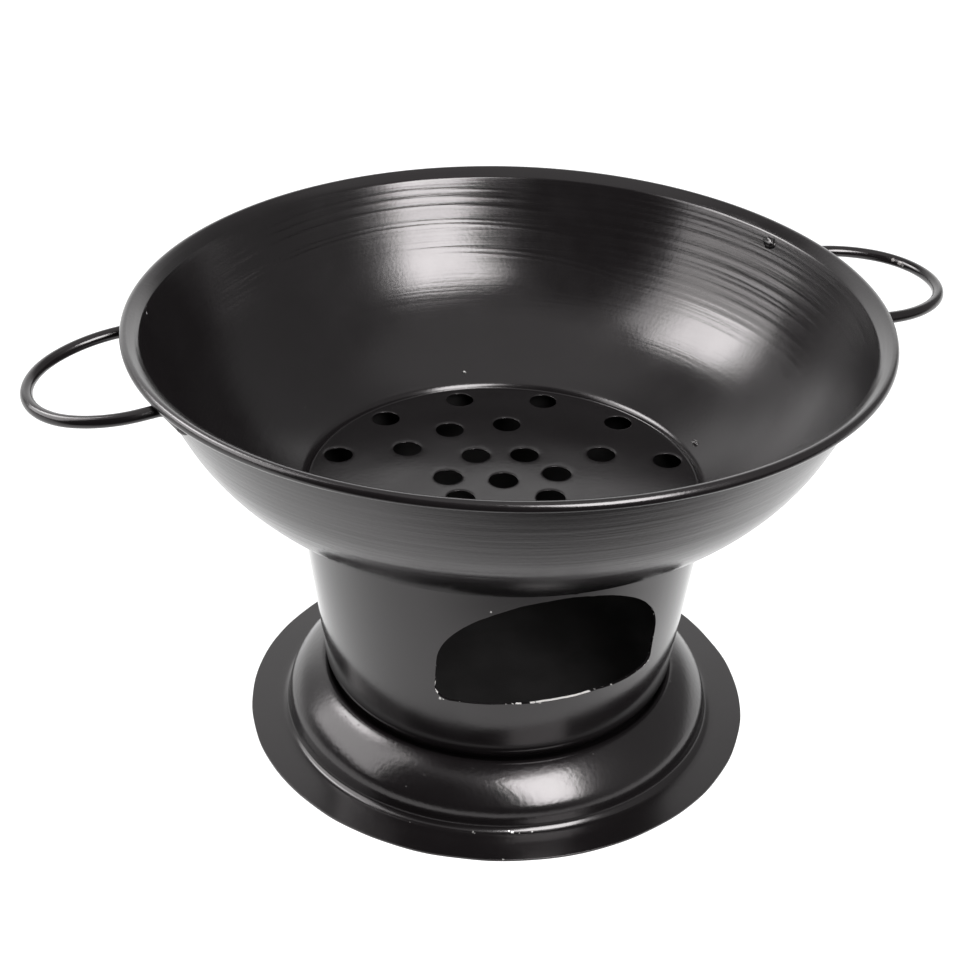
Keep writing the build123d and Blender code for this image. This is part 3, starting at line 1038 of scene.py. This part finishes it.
floor_bm = bmesh.new()
bmesh.ops.create_grid(floor_bm, x_segments=1, y_segments=1, size=FLOOR_HALF_SIZE)
floor_mesh = bpy.data.meshes.new("studio_floor")
floor_bm.to_mesh(floor_mesh)
floor_bm.free()
studio_floor = bpy.data.objects.new("studio_floor", floor_mesh)
studio_floor.location.z = -FLOOR_DROP
bpy.context.scene.collection.objects.link(studio_floor)
floor_material = bpy.data.materials.new("studio_floor")
floor_material.use_nodes = True
floor_mesh.materials.append(floor_material)
floor = Nodes(floor_material.node_tree)
floor.tree.nodes.clear()
rays = floor.node("ShaderNodeLightPath")
diffuse = floor.node("ShaderNodeBsdfDiffuse")
diffuse.inputs["Color"].default_value = (FLOOR_GREY, FLOOR_GREY, FLOOR_GREY, 1)
glow = floor.node("ShaderNodeEmission")
floor.link(floor.times(rays.outputs["Is Camera Ray"], FLOOR_WHITE), glow.inputs["Strength"])
shown = floor.node("ShaderNodeAddShader")
floor.link(diffuse.outputs[0], shown.inputs[0])
floor.link(glow.outputs[0], shown.inputs[1])
# In reflections the floor is a white table, which ends just in front of the object.
floor_y = floor.split(floor.node("ShaderNodeTexCoord").outputs["Object"])[1]
table = floor.node("ShaderNodeEmission")
floor.link(floor.span(floor_y, -0.32, -0.12, 0.03, 1.50), table.inputs["Strength"])
mirrored = floor.math(
    "MAXIMUM", rays.outputs["Is Glossy Ray"], rays.outputs["Is Transmission Ray"]
)
both = floor.node("ShaderNodeMixShader")
floor.link(mirrored, both.inputs["Fac"])
floor.link(shown.outputs[0], both.inputs[1])
floor.link(table.outputs[0], both.inputs[2])
floor_out = floor.node("ShaderNodeOutputMaterial")
floor.link(both.outputs[0], floor_out.inputs["Surface"])

# ---- Room around it --------------------------------------------------------
# The background's own colour is a grey of 0.8, which this makes white.
CAMERA_WHITE = 1.25

world = bpy.data.worlds.new("studio")
bpy.context.scene.world = world
world.use_nodes = True
room = Nodes(world.node_tree)
room.tree.nodes.clear()
right, back, up = room.split(room.node("ShaderNodeTexCoord").outputs["Generated"])
# A bright band low down behind.
horizon = room.times(room.span(up, 0.02, 0.20, 1.3, 0.0), room.span(back, -0.35, 0.15))
# A white sweep behind, which is weaker on the left and brightest low down, going
# over into a white ceiling.
sweep = room.times(room.span(back, 0.45, 0.78, 0.0, 1.75), room.span(up, 0.58, 0.82, 1.0, 0.0))
sweep = room.times(sweep, room.span(right, -0.60, -0.15, 0.35, 1.0))
sweep = room.times(sweep, room.span(up, 0.34, 0.48, 1.3, 1.0))
ceiling = room.span(up, 0.74, 0.93)
# Elsewhere the room is dark in front and on the left, and a little lit on the right.
lit = room.math("ADD", room.times(right, 0.87), room.times(back, 0.50))
walls = room.span(lit, -0.45, 0.20, 0.03, 0.44)
white = room.times(room.node("ShaderNodeLightPath").outputs["Is Camera Ray"], CAMERA_WHITE)
level = horizon
for other in (sweep, ceiling, walls, white):
    level = room.math("MAXIMUM", level, other)
background = room.node("ShaderNodeBackground")
room.link(level, background.inputs["Strength"])
world_out = room.node("ShaderNodeOutputWorld")
room.link(background.outputs[0], world_out.inputs["Surface"])


# ---- Lamps -----------------------------------------------------------------
def softbox(name, place, azimuth, elevation, width, height, radiance):
    """A rectangular lamp whose back points to an azimuth, counted from the front to the
    right, and an elevation."""
    lamp = bpy.data.lights.new(name, "AREA")
    lamp.shape = "RECTANGLE"
    lamp.size = width
    lamp.size_y = height
    lamp.energy = radiance * pi * width * height
    box = bpy.data.objects.new(name, lamp)
    box.location = place
    box.visible_camera = False
    level = cosine(elevation)
    back = Vector((level * sine(azimuth), -level * cosine(azimuth), sine(elevation)))
    box.rotation_mode = "QUATERNION"
    box.rotation_quaternion = (-back).to_track_quat("-Z", "Y")
    bpy.context.scene.collection.objects.link(box)


# Place, azimuth and elevation of the back, width, height and radiance.
softbox("key_softbox", (0.175, -0.905, 0.755), 15.6, 66.2, 0.52, 0.80, 20.5)
softbox("side_softbox", (-0.514, 0.375, 0.715), -68.75, 21.5, 0.494, 0.334, 12.0)
softbox("side_window", (-1.546, 0.800, 1.150), -75.6, 31.6, 2.0, 1.25, 5.0)

# ---- Camera ----------------------------------------------------------------
camera_data = bpy.data.cameras.new("camera")
camera_data.sensor_width = CAMERA_SENSOR
camera_data.lens = CAMERA_LENS
camera_data.clip_start = 0.05
camera_data.clip_end = 50.0
camera = bpy.data.objects.new("camera", camera_data)
bpy.context.scene.collection.objects.link(camera)
forward = Vector((0, cosine(CAMERA_TILT), -sine(CAMERA_TILT)))
across = Vector((1, 0, 0))
upward = Vector((0, sine(CAMERA_TILT), cosine(CAMERA_TILT)))
forward, across = (
    forward * cosine(CAMERA_PAN) + across * sine(CAMERA_PAN),
    across * cosine(CAMERA_PAN) - forward * sine(CAMERA_PAN),
)
across, upward = (
    across * cosine(CAMERA_ROLL) + upward * sine(CAMERA_ROLL),
    upward * cosine(CAMERA_ROLL) - across * sine(CAMERA_ROLL),
)
turned = Matrix((across, upward, -forward)).transposed().to_4x4()
place = Matrix.Translation(Vector(CAMERA_PLACE) * MM)
camera.matrix_world = place @ Matrix.Rotation(radians(CAMERA_AZIMUTH), 4, "Z") @ turned
bpy.context.scene.camera = camera
bpy.context.scene.view_settings.view_transform = "Standard"
